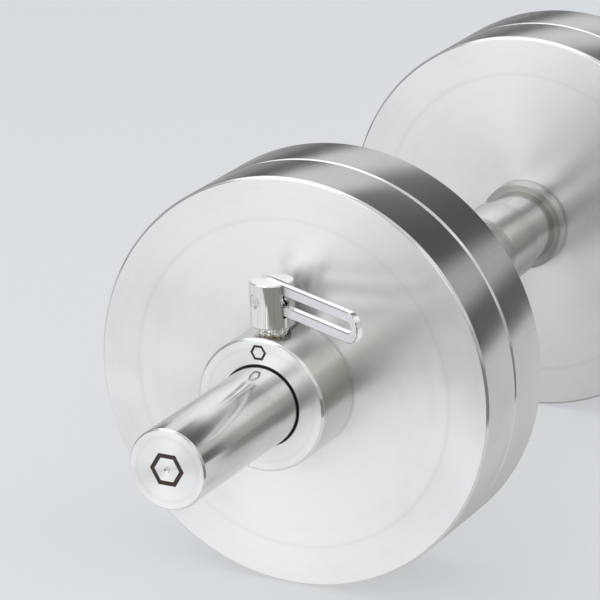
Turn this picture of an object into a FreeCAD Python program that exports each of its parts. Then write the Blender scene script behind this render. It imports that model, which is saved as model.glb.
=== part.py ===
"""Adjustable dumbbell: one bar, four steel discs and two quick-release collars.

The bar lies along X with its middle at the origin, and Z is up. The "near" end is the -X end.
Each end is built once, as the near end, and the "far" end is the same set turned half a turn
about Z. A collar's clamp is built standing on Z, with Z = 0 on the bar's axis, and is then
turned, leaned and carried to its collar.
"""
import FreeCAD, Part
import math
import os

Vector = FreeCAD.Vector
X_AXIS = Vector(1, 0, 0)
Y_AXIS = Vector(0, 1, 0)
Z_AXIS = Vector(0, 0, 1)
ORIGIN = Vector(0, 0, 0)

# How far a cutter runs past the face it opens, and how close two sizes must be to be the same
PAST = 1.0
SAME = 1e-4

# Bar and grip
BAR_LENGTH = 432.4
BAR_R = 14.0
BAR_CHAMFER = 0.6
BORED_FIT = 0.02
CENTRE_MARK_R = 1.1
CENTRE_MARK_DEPTH = 0.8
END_MARK_R = 6.2
END_MARK_WIDTH = 1.7
MARK_DEPTH = 0.15
GRIP_HALF = 31.3
GRIP_R = 15.1
FERRULE_END = 54.9
FERRULE_R = 15.6
FERRULE_CHAMFER = 1.0
FLANGE_LENGTH = 5.3
FLANGE_R = 17.0
FLANGE_CHAMFER = 0.6

# Discs, from the flange outwards
PLATE_R = 73.65
PLATE_THICKNESS = 23.0
PLATE_CHAMFER = 0.9
PLATE_BORE_R = 14.4
PLATE_BORE_CHAMFER = 0.8
PLATE_INNER_FACE = 79.5

# Collar
COLLAR_R = 23.7
COLLAR_LENGTH = 23.5
COLLAR_CHAMFER = 0.9
LINER_BORE_R = 14.2
LINER_R = 14.6
SEAT_HEIGHT = 23.3
SEAT_R = 5.7
STUD_HOLE_FLOOR = 17.2
COLLAR_MARK_R = 3.0
COLLAR_MARK_WIDTH = 0.95
COLLAR_MARK_HEIGHT = 18.8
CLAMP_LEAN_DEG = 2.3
CLAMP_SWIVEL_DEG = 26.0

# Assumed relief in the bar under each clamp: it keeps the pad's marks below the surface, and parts
# the free end of the bar from the rest
RELIEF_R = 13.8
RELIEF_MARGIN = 0.9

# Clamp stud and what sits on it, as heights above the bar's axis
STUD_R = 4.0
STUD_BORE_R = 3.15
STUD_LIP_TOP = 18.4
STUD_LIP_R = 1.9
STUD_TOP = 28.9
LOCK_RING_R = 5.3
LOCK_RING_TOP = 24.9
LOCK_RING_SCALLOPS = 12
SCALLOP_R = 0.7
WASHER_R = 4.9
WASHER_TOP = 25.4
SNAP_RING_BOTTOM = 27.0
SNAP_RING_THICKNESS = 0.8
SNAP_RING_INNER_R = 3.6
SNAP_RING_OUTER_R = 4.7
SNAP_RING_GAP = 1.6
SNAP_RING_ROOM = 0.1
GROOVE_SLACK = 0.05

# Clamp hub
HUB_R = 7.7
HUB_BOTTOM = 25.45
HUB_TOP = 41.15
HUB_DOME = 0.3
HUB_EDGE_R = 0.7
HUB_BOTTOM_CHAMFER = 0.35
HUB_RUNNING_FIT = 0.05
HUB_TIP_MARK_R = 0.35

# Lever, folded down at rest and pointing along -Y before it is turned
PIN_HEIGHT = 35.0
LEVER_HALF_WIDTH = 5.4
LEVER_RISE = 0.8
LEVER_DROOP_DEG = 2.3
LEVER_THICKNESS = 2.6
LEVER_REACH = 47.5
LEVER_BEVEL = 0.3
WINDOW_WIDTH = 3.75
WINDOW_START = 4.6
WINDOW_END = 44.1
SLOT_SIDE_GAP = 0.12
SLOT_DEPTH_GAP = 1.2
CAM_LIFT = 0.8
ROOT_CORNER_R = 1.8

# Pivot pin and the pieces the cam moves
PIN_R = 2.0
PIN_HEAD_R = 2.4
PIN_HEAD_DEPTH = 1.5
PIN_RECESS = 0.45
PIN_DISH_DEPTH = 0.45
PIN_DISH_R = 6.0
PLUNGER_HEAD_R = 3.1
PLUNGER_HEAD_BOTTOM = 25.4
PLUNGER_STEM_R = 1.7
STEM_ROOT = 0.5
PLUNGER_CAM_GAP = 0.2
PLUNGER_SHOULDER_GAP = 0.14
PAD_R = 3.4
PAD_TOP = 16.3
PAD_STEM_DEPTH = 1.2
PAD_RELIEF_GAP = 0.22
PAD_HOLE_R = 3.6
PAD_HOLE_OVERLAP = 0.1
PAD_SOCKET_GAP = 0.05
SPRING_WIRE_R = 0.3
SPRING_MEAN_R = 2.55
SPRING_TURNS = 6.0
SPRING_END_GAP = 0.03

# Places that follow from the sizes above
BAR_END = BAR_LENGTH / 2
INNER_PLATE_X = -PLATE_INNER_FACE
OUTER_PLATE_X = INNER_PLATE_X - PLATE_THICKNESS
COLLAR_X = OUTER_PLATE_X - PLATE_THICKNESS
COLLAR_END = COLLAR_X - COLLAR_LENGTH
CLAMP_X = COLLAR_X - COLLAR_LENGTH / 2
LEVER_LINE = PIN_HEIGHT + LEVER_RISE
CAM_R = LEVER_HALF_WIDTH - LEVER_RISE
CAM_BACK_R = CAM_R - CAM_LIFT
SLOT_FLOOR = PIN_HEIGHT - CAM_R - SLOT_DEPTH_GAP
DOME_R = (HUB_R ** 2 + HUB_DOME ** 2) / (2 * HUB_DOME)


def ring(radius, bore, x_start, length):
    """A round ring along -X from x_start; bore 0 makes it solid."""
    start = Vector(x_start, 0, 0)
    solid = Part.makeCylinder(radius, length, start, -X_AXIS)
    if bore > 0:
        solid = solid.cut(Part.makeCylinder(bore, length + 2 * PAST, start + X_AXIS * PAST, -X_AXIS))
    return solid


def upright(radius, bottom, top):
    """A cylinder on Z between two heights."""
    return Part.makeCylinder(radius, top - bottom, Vector(0, 0, bottom), Z_AXIS)


def circle_edges(shape, radius):
    """The full circular edges of one radius."""
    found = []
    for edge in shape.Edges:
        if edge.Degenerated or not isinstance(edge.Curve, Part.Circle):
            continue
        if abs(edge.Curve.Radius - radius) < SAME:
            found.append(edge)
    return found


def chamfer_circles(shape, radius, size):
    return shape.makeChamfer(size, circle_edges(shape, radius))


def hexagon(radius, width, height, x_face):
    """A shallow six-sided frame, ready to be cut in a face that looks along -X."""
    outer = []
    inner = []
    for corner in range(7):
        angle = math.radians(60 * corner)
        direction = Vector(0, math.cos(angle), math.sin(angle))
        outer.append(direction * radius)
        inner.append(direction * (radius - width))
    frame = Part.Face(Part.makePolygon(outer)).cut(Part.Face(Part.makePolygon(inner)))
    frame.translate(Vector(x_face - PAST, 0, height))
    return frame.extrude(Vector(PAST + MARK_DEPTH, 0, 0))


def make_bar():
    """The full-length bar: chamfered ends, a centre mark and a marking in each, two reliefs."""
    bar = ring(BAR_R, 0, BAR_END, BAR_LENGTH)
    bar = chamfer_circles(bar, BAR_R, BAR_CHAMFER)
    drill = Part.makeCone(CENTRE_MARK_R, 0, CENTRE_MARK_DEPTH, Vector(-BAR_END, 0, 0), X_AXIS)
    mark = hexagon(END_MARK_R, END_MARK_WIDTH, 0, -BAR_END)
    relief_start = COLLAR_X - RELIEF_MARGIN
    relief_end = COLLAR_END - RELIEF_MARGIN / 2
    relief = ring(BAR_R + PAST, RELIEF_R, relief_start, relief_start - relief_end)
    for cutter in (drill, mark, relief):
        bar = bar.cut(cutter)
        bar = bar.cut(far_copy(cutter))
    return bar


def make_grip():
    """The middle of the handle, as a plain sleeve at the top of its fine knurl."""
    return ring(GRIP_R, BAR_R + BORED_FIT, GRIP_HALF, 2 * GRIP_HALF)


def make_ferrule():
    """The plain sleeve between the grip and the bare neck, chamfered at both ends."""
    sleeve = ring(FERRULE_R, BAR_R + BORED_FIT, -GRIP_HALF, FERRULE_END - GRIP_HALF)
    return chamfer_circles(sleeve, FERRULE_R, FERRULE_CHAMFER)


def make_flange():
    """The stop ring that the inner disc leans on."""
    flange = ring(FLANGE_R, BAR_R + BORED_FIT, FLANGE_LENGTH - PLATE_INNER_FACE, FLANGE_LENGTH)
    return chamfer_circles(flange, FLANGE_R, FLANGE_CHAMFER)


def make_plate(x_start):
    """One flat disc whose inner face is at x_start."""
    plate = ring(PLATE_R, PLATE_BORE_R, x_start, PLATE_THICKNESS)
    plate = chamfer_circles(plate, PLATE_R, PLATE_CHAMFER)
    return chamfer_circles(plate, PLATE_BORE_R, PLATE_BORE_CHAMFER)


def make_collar():
    """The collar ring, with its clamp's seat, stud hole and pad hole, and a marking in line."""
    collar = ring(COLLAR_R, LINER_R + BORED_FIT, COLLAR_X, COLLAR_LENGTH)
    collar = chamfer_circles(collar, COLLAR_R, COLLAR_CHAMFER)
    seat = upright(SEAT_R, SEAT_HEIGHT, COLLAR_R + PAST)
    stud_hole = upright(STUD_R + BORED_FIT, STUD_HOLE_FLOOR, COLLAR_R)
    pad_hole = upright(PAD_HOLE_R, 0, STUD_HOLE_FLOOR + PAD_HOLE_OVERLAP)
    mark = hexagon(COLLAR_MARK_R, COLLAR_MARK_WIDTH, COLLAR_MARK_HEIGHT, COLLAR_END)
    mark.translate(Vector(-CLAMP_X, 0, 0))
    for cutter in (seat, stud_hole, pad_hole, mark):
        collar = collar.cut(lean_to_collar(cutter))
    return collar


def make_liner():
    """The thin polymer sleeve that keeps the collar from scoring the bar."""
    liner = ring(LINER_R, LINER_BORE_R, COLLAR_X, COLLAR_LENGTH)
    return liner.cut(lean_to_collar(upright(PAD_HOLE_R, 0, COLLAR_R)))


def make_stud():
    """The hollow stud screwed into the collar wall, bored for the plunger and its spring."""
    stud = upright(STUD_R, STUD_HOLE_FLOOR, STUD_TOP)
    stud = stud.cut(upright(STUD_BORE_R, STUD_LIP_TOP, STUD_TOP + PAST))
    stud = stud.cut(upright(STUD_LIP_R, STUD_HOLE_FLOOR - PAST, STUD_LIP_TOP + PAST))
    groove_bottom = SNAP_RING_BOTTOM - GROOVE_SLACK
    groove_top = SNAP_RING_BOTTOM + SNAP_RING_THICKNESS + GROOVE_SLACK
    groove = upright(STUD_R + PAST, groove_bottom, groove_top)
    groove = groove.cut(upright(SNAP_RING_INNER_R - GROOVE_SLACK, groove_bottom, groove_top))
    return stud.cut(groove)


def make_lock_ring():
    """The scalloped jam ring that locks the stud against the collar's seat."""
    lock = upright(LOCK_RING_R, SEAT_HEIGHT, LOCK_RING_TOP)
    lock = lock.cut(upright(STUD_R + BORED_FIT, SEAT_HEIGHT - PAST, LOCK_RING_TOP + PAST))
    for index in range(LOCK_RING_SCALLOPS):
        angle = 2 * math.pi * index / LOCK_RING_SCALLOPS
        scallop = upright(SCALLOP_R, SEAT_HEIGHT - PAST, LOCK_RING_TOP + PAST)
        scallop.translate(Vector(LOCK_RING_R * math.cos(angle), LOCK_RING_R * math.sin(angle), 0))
        lock = lock.cut(scallop)
    return lock


def make_washer():
    """The bronze washer that the hub turns on."""
    washer = upright(WASHER_R, LOCK_RING_TOP, WASHER_TOP)
    return washer.cut(upright(STUD_R + BORED_FIT, LOCK_RING_TOP - PAST, WASHER_TOP + PAST))


def make_snap_ring():
    """The open wire ring that keeps the hub on the stud."""
    bottom = SNAP_RING_BOTTOM
    top = bottom + SNAP_RING_THICKNESS
    snap = upright(SNAP_RING_OUTER_R, bottom, top)
    snap = snap.cut(upright(SNAP_RING_INNER_R, bottom - PAST, top + PAST))
    opening = Part.makeBox(SNAP_RING_GAP, SNAP_RING_OUTER_R + PAST, SNAP_RING_THICKNESS + 2 * PAST)
    opening.translate(Vector(-SNAP_RING_GAP / 2, 0, bottom - PAST))
    return snap.cut(opening)


def pin_bore(radius, start_y, length):
    """A cylinder along the pin's own axis, which is X before the clamp is turned."""
    return Part.makeCylinder(radius, length, Vector(start_y, 0, PIN_HEIGHT), X_AXIS)


def make_hub():
    """The round clamp housing: slotted for the lever, cross-bored for its pin."""
    hub = upright(HUB_R, HUB_BOTTOM, HUB_TOP + HUB_DOME)
    bottom_rim = [edge for edge in circle_edges(hub, HUB_R) if edge.BoundBox.ZMax < PIN_HEIGHT]
    hub = hub.makeChamfer(HUB_BOTTOM_CHAMFER, bottom_rim)
    hub = hub.common(Part.makeSphere(DOME_R, Vector(0, 0, HUB_TOP + HUB_DOME - DOME_R)))
    top_rim = [edge for edge in circle_edges(hub, HUB_R) if edge.BoundBox.ZMin > PIN_HEIGHT]
    hub = hub.makeFillet(HUB_EDGE_R, top_rim)
    hub = hub.cut(upright(STUD_R + HUB_RUNNING_FIT, HUB_BOTTOM - PAST, SLOT_FLOOR + PAST))
    ring_bottom = SNAP_RING_BOTTOM - GROOVE_SLACK
    ring_top = SNAP_RING_BOTTOM + SNAP_RING_THICKNESS + GROOVE_SLACK
    hub = hub.cut(upright(SNAP_RING_OUTER_R + SNAP_RING_ROOM, ring_bottom, ring_top))
    slot_width = LEVER_THICKNESS + 2 * SLOT_SIDE_GAP
    slot = Part.makeBox(slot_width, 4 * HUB_R, HUB_TOP - SLOT_FLOOR + PAST)
    slot.translate(Vector(-slot_width / 2, -2 * HUB_R, SLOT_FLOOR))
    hub = hub.cut(slot)
    hub = hub.cut(pin_bore(PIN_R + BORED_FIT, -HUB_R - PAST, 2 * HUB_R + 2 * PAST))
    head_depth = PIN_HEAD_DEPTH + PIN_RECESS
    for start in (-HUB_R - PAST, HUB_R - head_depth):
        hub = hub.cut(pin_bore(PIN_HEAD_R + BORED_FIT, start, head_depth + PAST))
    tip = Vector(HUB_R / 2, 0, HUB_TOP + HUB_DOME)
    return hub.cut(Part.makeSphere(HUB_TIP_MARK_R, tip))


def root_edges(top):
    """The lever's root: a cam from its bottom to its back, then a rounded corner to its top.

    The cam is a quarter ellipse about the pin, so it lets the plunger rise almost evenly.
    """
    lowest = Vector(0, 0, PIN_HEIGHT - CAM_R)
    rearmost = Vector(0, CAM_BACK_R, PIN_HEIGHT)
    oval = Part.Ellipse(lowest, rearmost, Vector(0, 0, PIN_HEIGHT))
    corner = ROOT_CORNER_R
    corner_start = Vector(0, CAM_BACK_R, top - corner)
    corner_end = Vector(0, CAM_BACK_R - corner, top)
    halfway = Vector(0, CAM_BACK_R - corner, top - corner) + Vector(0, 1, 1) * (corner / math.sqrt(2))
    return [
        Part.ArcOfEllipse(oval, 0, math.pi / 2).toShape(),
        Part.LineSegment(rearmost, corner_start).toShape(),
        Part.Arc(corner_start, halfway, corner_end).toShape(),
    ]


def slot_face(half_width, start, end):
    """A round-ended slot in the lever's plane, between two distances along -Y from the pin."""
    top = LEVER_LINE + half_width
    bottom = LEVER_LINE - half_width
    near = -start - half_width
    far = -end + half_width
    far_arc = Part.Arc(Vector(0, far, top), Vector(0, -end, LEVER_LINE), Vector(0, far, bottom))
    near_arc = Part.Arc(Vector(0, near, bottom), Vector(0, -start, LEVER_LINE), Vector(0, near, top))
    edges = [
        Part.LineSegment(Vector(0, near, top), Vector(0, far, top)).toShape(),
        far_arc.toShape(),
        Part.LineSegment(Vector(0, far, bottom), Vector(0, near, bottom)).toShape(),
        near_arc.toShape(),
    ]
    return Part.Face(Part.Wire(edges))


def make_lever():
    """The flat lever: a cam root, two rails beside a long window, and a round tip.

    It is drawn level and then droops about its pin.
    """
    tip_y = -LEVER_REACH + LEVER_HALF_WIDTH
    top = LEVER_LINE + LEVER_HALF_WIDTH
    bottom = LEVER_LINE - LEVER_HALF_WIDTH
    tip_arc = Part.Arc(Vector(0, tip_y, bottom), Vector(0, -LEVER_REACH, LEVER_LINE), Vector(0, tip_y, top))
    root_top = CAM_BACK_R - ROOT_CORNER_R
    edges = root_edges(top)
    edges.append(Part.LineSegment(Vector(0, root_top, top), Vector(0, tip_y, top)).toShape())
    edges.append(tip_arc.toShape())
    edges.append(Part.LineSegment(Vector(0, tip_y, bottom), Vector(0, 0, bottom)).toShape())
    outline = Part.Face(Part.Wire(Part.__sortEdges__(edges)))
    outline.translate(Vector(-LEVER_THICKNESS / 2, 0, 0))
    lever = outline.extrude(Vector(LEVER_THICKNESS, 0, 0))
    window = slot_face(WINDOW_WIDTH / 2, WINDOW_START, WINDOW_END)
    window.translate(Vector(-LEVER_THICKNESS, 0, 0))
    lever = lever.cut(window.extrude(Vector(2 * LEVER_THICKNESS, 0, 0)))
    side_edges = []
    for edge in lever.Edges:
        box = edge.BoundBox
        on_a_side = abs(abs(box.XMin) - LEVER_THICKNESS / 2) < SAME and box.XLength < SAME
        if on_a_side:
            side_edges.append(edge)
    lever = lever.makeChamfer(LEVER_BEVEL, side_edges)
    lever = lever.cut(pin_bore(PIN_R + HUB_RUNNING_FIT, -LEVER_THICKNESS, 2 * LEVER_THICKNESS))
    lever.rotate(Vector(0, 0, PIN_HEIGHT), X_AXIS, LEVER_DROOP_DEG)
    return lever


def make_pin():
    """The pivot pin, with a dished head sunk in each side of the hub."""
    head_end = HUB_R - PIN_RECESS
    pin = pin_bore(PIN_R, -head_end, 2 * head_end)
    for side in (-1, 1):
        start = head_end - PIN_HEAD_DEPTH if side > 0 else -head_end
        pin = pin.fuse(pin_bore(PIN_HEAD_R, start, PIN_HEAD_DEPTH))
    pin = pin.removeSplitter()
    for side in (-1, 1):
        dish_x = side * (head_end + PIN_DISH_R - PIN_DISH_DEPTH)
        pin = pin.cut(Part.makeSphere(PIN_DISH_R, Vector(dish_x, 0, PIN_HEIGHT)))
    return pin


def make_plunger():
    """The follower under the cam: a guided head on a stem that carries the pad."""
    head_top = PIN_HEIGHT - CAM_R - PLUNGER_CAM_GAP
    head = upright(PLUNGER_HEAD_R, PLUNGER_HEAD_BOTTOM, head_top)
    stem_bottom = PAD_TOP - PAD_STEM_DEPTH
    stem = upright(PLUNGER_STEM_R, stem_bottom, PLUNGER_HEAD_BOTTOM + STEM_ROOT)
    shoulder_height = SLOT_FLOOR - CAM_LIFT - PLUNGER_SHOULDER_GAP
    for side in (-1, 1):
        offset = side * (LEVER_THICKNESS / 2 + PLUNGER_HEAD_R)
        trim = Part.makeBox(2 * PLUNGER_HEAD_R, 4 * PLUNGER_HEAD_R, head_top)
        trim.translate(Vector(offset - PLUNGER_HEAD_R, -2 * PLUNGER_HEAD_R, shoulder_height))
        head = head.cut(trim)
    return head.fuse(stem).removeSplitter()


def make_pad():
    """The bronze shoe on the plunger's stem, hollowed to the bar's own curve."""
    pad = upright(PAD_R, 0, PAD_TOP)
    hollow_r = RELIEF_R + PAD_RELIEF_GAP
    pad = pad.cut(ring(hollow_r, 0, 4 * PAD_R, 8 * PAD_R))
    upper = Part.makeBox(4 * PAD_R, 4 * PAD_R, PAD_TOP)
    upper.translate(Vector(-2 * PAD_R, -2 * PAD_R, 0))
    pad = pad.common(upper)
    socket_floor = PAD_TOP - PAD_STEM_DEPTH - PAD_SOCKET_GAP
    return pad.cut(upright(PLUNGER_STEM_R + BORED_FIT, socket_floor, PAD_TOP + PAST))


def make_spring():
    """The coil that lifts the plunger off the bar when the lever is raised."""
    bottom = STUD_LIP_TOP + SPRING_WIRE_R + SPRING_END_GAP
    height = PLUNGER_HEAD_BOTTOM - SPRING_WIRE_R - SPRING_END_GAP - bottom
    helix = Part.makeHelix(height / SPRING_TURNS, height, SPRING_MEAN_R)
    section = Part.Wire(Part.makeCircle(SPRING_WIRE_R, Vector(SPRING_MEAN_R, 0, 0), Y_AXIS))
    coil = Part.Wire(helix.Edges).makePipeShell([section], True, True)
    coil.translate(Vector(0, 0, bottom))
    return coil


def lean_to_collar(shape):
    """Carry a shape from the clamp's upright frame to its collar."""
    moved = shape.copy()
    moved.rotate(ORIGIN, X_AXIS, -CLAMP_LEAN_DEG)
    moved.translate(Vector(CLAMP_X, 0, 0))
    return moved


def swivel_to_collar(shape):
    """Carry a shape that turns with the hub to its place on the collar."""
    moved = shape.copy()
    moved.rotate(ORIGIN, Z_AXIS, -CLAMP_SWIVEL_DEG)
    return lean_to_collar(moved)


def far_copy(shape):
    """The far end's copy of a near-end shape."""
    turned = shape.copy()
    turned.rotate(ORIGIN, Z_AXIS, 180)
    return turned


def write_part(name, shape):
    """Write one piece, and print what it holds."""
    if not shape.isValid():
        raise ValueError(name + " is not a valid shape")
    shape.exportStep(os.path.join("parts", name + ".step"))
    print(name, len(shape.Solids), "solid,", round(shape.Volume / 1000, 3), "cm3")


def near_end_parts():
    """Every piece of the near end, by name, in its place."""
    return {
        "grip_ferrule": make_ferrule(),
        "stop_flange": make_flange(),
        "inner_plate": make_plate(INNER_PLATE_X),
        "outer_plate": make_plate(OUTER_PLATE_X),
        "collar_body": make_collar(),
        "collar_liner": make_liner(),
        "clamp_stud": lean_to_collar(make_stud()),
        "clamp_lock_ring": lean_to_collar(make_lock_ring()),
        "thrust_washer": lean_to_collar(make_washer()),
        "hub_snap_ring": lean_to_collar(make_snap_ring()),
        "clamp_hub": swivel_to_collar(make_hub()),
        "clamp_lever": swivel_to_collar(make_lever()),
        "pivot_pin": swivel_to_collar(make_pin()),
        "cam_plunger": swivel_to_collar(make_plunger()),
        "pressure_pad": lean_to_collar(make_pad()),
        "return_spring": lean_to_collar(make_spring()),
    }


def main():
    os.makedirs("parts", exist_ok=True)
    write_part("bar", make_bar())
    write_part("grip_sleeve", make_grip())
    for name, shape in near_end_parts().items():
        write_part("near_" + name, shape)
        write_part("far_" + name, far_copy(shape))


main()
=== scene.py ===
"""Looks for the adjustable dumbbell: turned and polished steel on a pale studio floor.

Everything is in metres, in the part's own frame: the bar lies along X and Z is up. The discs,
bar, handle and collars, and each clamp's hub, pin and lever, are drawn again here with more
facets and eased edges. The other pieces keep their own shape and get a finish. The reflections
are painted: glossy rays see their own brightness on the floor and bands in the surroundings.
"""
import math

import bmesh
import bpy
from mathutils import Matrix, Vector


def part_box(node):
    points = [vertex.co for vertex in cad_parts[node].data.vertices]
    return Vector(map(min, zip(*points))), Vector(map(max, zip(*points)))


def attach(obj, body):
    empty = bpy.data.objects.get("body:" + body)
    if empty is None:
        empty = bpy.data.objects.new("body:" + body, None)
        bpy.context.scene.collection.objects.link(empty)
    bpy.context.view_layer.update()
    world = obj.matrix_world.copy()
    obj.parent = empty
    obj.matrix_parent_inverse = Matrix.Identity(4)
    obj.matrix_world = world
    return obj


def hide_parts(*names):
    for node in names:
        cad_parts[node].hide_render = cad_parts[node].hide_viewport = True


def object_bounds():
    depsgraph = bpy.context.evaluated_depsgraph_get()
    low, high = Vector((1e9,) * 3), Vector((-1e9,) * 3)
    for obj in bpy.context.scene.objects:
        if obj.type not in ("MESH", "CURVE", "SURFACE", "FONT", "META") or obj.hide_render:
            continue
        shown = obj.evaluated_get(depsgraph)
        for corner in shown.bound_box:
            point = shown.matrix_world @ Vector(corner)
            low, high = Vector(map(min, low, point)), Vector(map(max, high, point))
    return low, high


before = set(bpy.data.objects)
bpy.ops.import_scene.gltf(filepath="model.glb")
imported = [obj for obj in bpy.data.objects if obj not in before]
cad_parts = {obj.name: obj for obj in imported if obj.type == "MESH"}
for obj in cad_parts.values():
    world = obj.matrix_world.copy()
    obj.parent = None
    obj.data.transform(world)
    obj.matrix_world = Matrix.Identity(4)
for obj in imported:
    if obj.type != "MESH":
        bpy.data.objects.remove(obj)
cad_low, cad_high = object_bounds()

MM = 0.001
SIDES = {"near": -1.0, "far": 1.0}

# The camera, as the photographer stood: beside the near end and a little above it
CAMERA_PLACE = (-1.2738, -0.5669, 0.4611)
CAMERA_HEADING_DEG = 26.14
CAMERA_PITCH_DEG = 18.586
CAMERA_LENS_MM = 238.67
SENSOR_MM = 36.0

# Turned pieces: how many facets they have, how their corners are eased, and how far a face may
# lean before it counts as a chamfer, and a chamfer before it counts as a round
AROUND_LARGE = 360
AROUND_SMALL = 192
AROUND_TINY = 96
EASE_STEPS = 4
AXIS_REACH = 1e-7
FACE_COSINE = 0.92
CHAMFER_COSINE = 0.25
SHARP_DEG = 40
CUT_SHARP_DEG = 30
KNURL_SHARP_DEG = 15
EASED_OVER_DEG = 35
EASED_SEGMENTS = 2

# Discs
PLATE_CHAMFER = 0.9 * MM
PLATE_BORE_R = 14.4 * MM
PLATE_BORE_CHAMFER = 0.8 * MM
PLATE_EASE = 0.25 * MM

# Bar, with an assumed relief under each clamp, and the sleeves pressed on it
BAR_CHAMFER = 0.6 * MM
BAR_EASE = 0.15 * MM
DRILL_R = 1.1 * MM
DRILL_DEPTH = 0.8 * MM
DRILL_EASE = 0.05 * MM
RELIEF_START = 126.4 * MM
RELIEF_END = 149.45 * MM
RELIEF_R = 13.8 * MM
SLEEVE_BORE_R = 14.02 * MM
SLEEVE_EASE = 0.15 * MM
FERRULE_CHAMFER = 1.0 * MM
FLANGE_CHAMFER = 0.6 * MM

# Knurl on the grip
GRIP_TEETH = 80
GRIP_PITCH = 1.2 * MM
GRIP_DEPTH = 0.22 * MM
STEPS_PER_TOOTH = 4

# Collar, and how far a cutter runs past its surface
COLLAR_BORE_R = 14.62 * MM
COLLAR_CHAMFER = 0.9 * MM
COLLAR_EASE = 0.2 * MM
COLLAR_BORE_EASE = 0.08 * MM
SEAT_HEIGHT = 23.3 * MM
SEAT_R = 5.7 * MM
STUD_HOLE_R = 4.02 * MM
STUD_HOLE_FLOOR = 17.2 * MM
PAD_HOLE_R = 3.6 * MM
PAD_HOLE_BOTTOM = 12.0 * MM
PAD_HOLE_TOP = 17.3 * MM
PAST = 2.0 * MM

# Where a clamp stands on its collar
CLAMP_X = -137.25 * MM
CLAMP_LEAN = math.radians(2.3)
CLAMP_SWIVEL = math.radians(26.0)

# Clamp hub: its outline as (height above the bar's axis, radius, ease), in millimetres
HUB_OUTLINE_MM = [
    (25.45, 4.05, 0), (25.45, 7.35, 0.08), (25.8, 7.7, 0.08), (41.15, 7.7, 0.7), (41.3, 4.5, 0),
    (41.42, 2.0, 0), (41.45, 0, 0), (30.2, 0, 0), (30.2, 4.05, 0), (27.85, 4.05, 0),
    (27.85, 4.8, 0), (26.95, 4.8, 0), (26.95, 4.05, 0),
]
SLOT_REACH = 12.0 * MM
SLOT_CEILING = 45.0 * MM
HUB_EASE = 0.09 * MM
SLOT_HALF_WIDTH = 1.42 * MM
SLOT_FLOOR = 29.2 * MM

# Pivot pin, and the reach of the cutters that bore the hub for it
PIN_HEIGHT = 35.0 * MM
BORE_REACH = 9.0 * MM
PIN_BORE_R = 2.02 * MM
PIN_HEAD_BORE_R = 2.42 * MM
PIN_R = 2.0 * MM
PIN_HEAD_R = 2.4 * MM
PIN_HEAD_START = 5.75 * MM
PIN_END = 7.25 * MM
PIN_EDGE = 0.12 * MM
PIN_DISH_R = 6.0 * MM
PIN_DISH_DEPTH = 0.45 * MM
PIN_DISH_REACH = 2.28 * MM
PIN_DISH_STEPS = 8

# Lever, as distances from its pin, with the degrees between the points of its arcs
LEVER_RISE = 0.8 * MM
LEVER_HALF_WIDTH = 5.4 * MM
LEVER_REACH = 47.5 * MM
LEVER_HALF_THICKNESS = 1.3 * MM
LEVER_BEVEL = 0.3 * MM
LEVER_BACK = 3.8 * MM
LEVER_CORNER_R = 1.8 * MM
LEVER_DROOP = math.radians(2.3)
LEVER_BORE_R = 2.05 * MM
LEVER_FACE_COSINE = 0.95
LEVER_BEVEL_COSINE = 0.3
LEVER_SHARP_DEG = 20
LEVER_TIP_STEP_DEG = 3.75
LEVER_CORNER_STEP_DEG = 7.5
LEVER_BORE_STEP_DEG = 10
WINDOW_HALF_WIDTH = 1.875 * MM
WINDOW_START = 4.6 * MM
WINDOW_END = 44.1 * MM

# Six-sided marks: their radius to a corner, the width of their line, and how high they stand
# above the bar's axis
END_MARK = {"radius": 6.2 * MM, "width": 1.7 * MM, "height": 0.0}
COLLAR_MARK = {"radius": 3.0 * MM, "width": 0.95 * MM, "height": 18.8 * MM}
MARK_SIDES = 6
MARK_DEPTH = 0.15 * MM
MARK_PROUD = 0.012 * MM


# ---------------------------------------------------------------- node helpers

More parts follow.
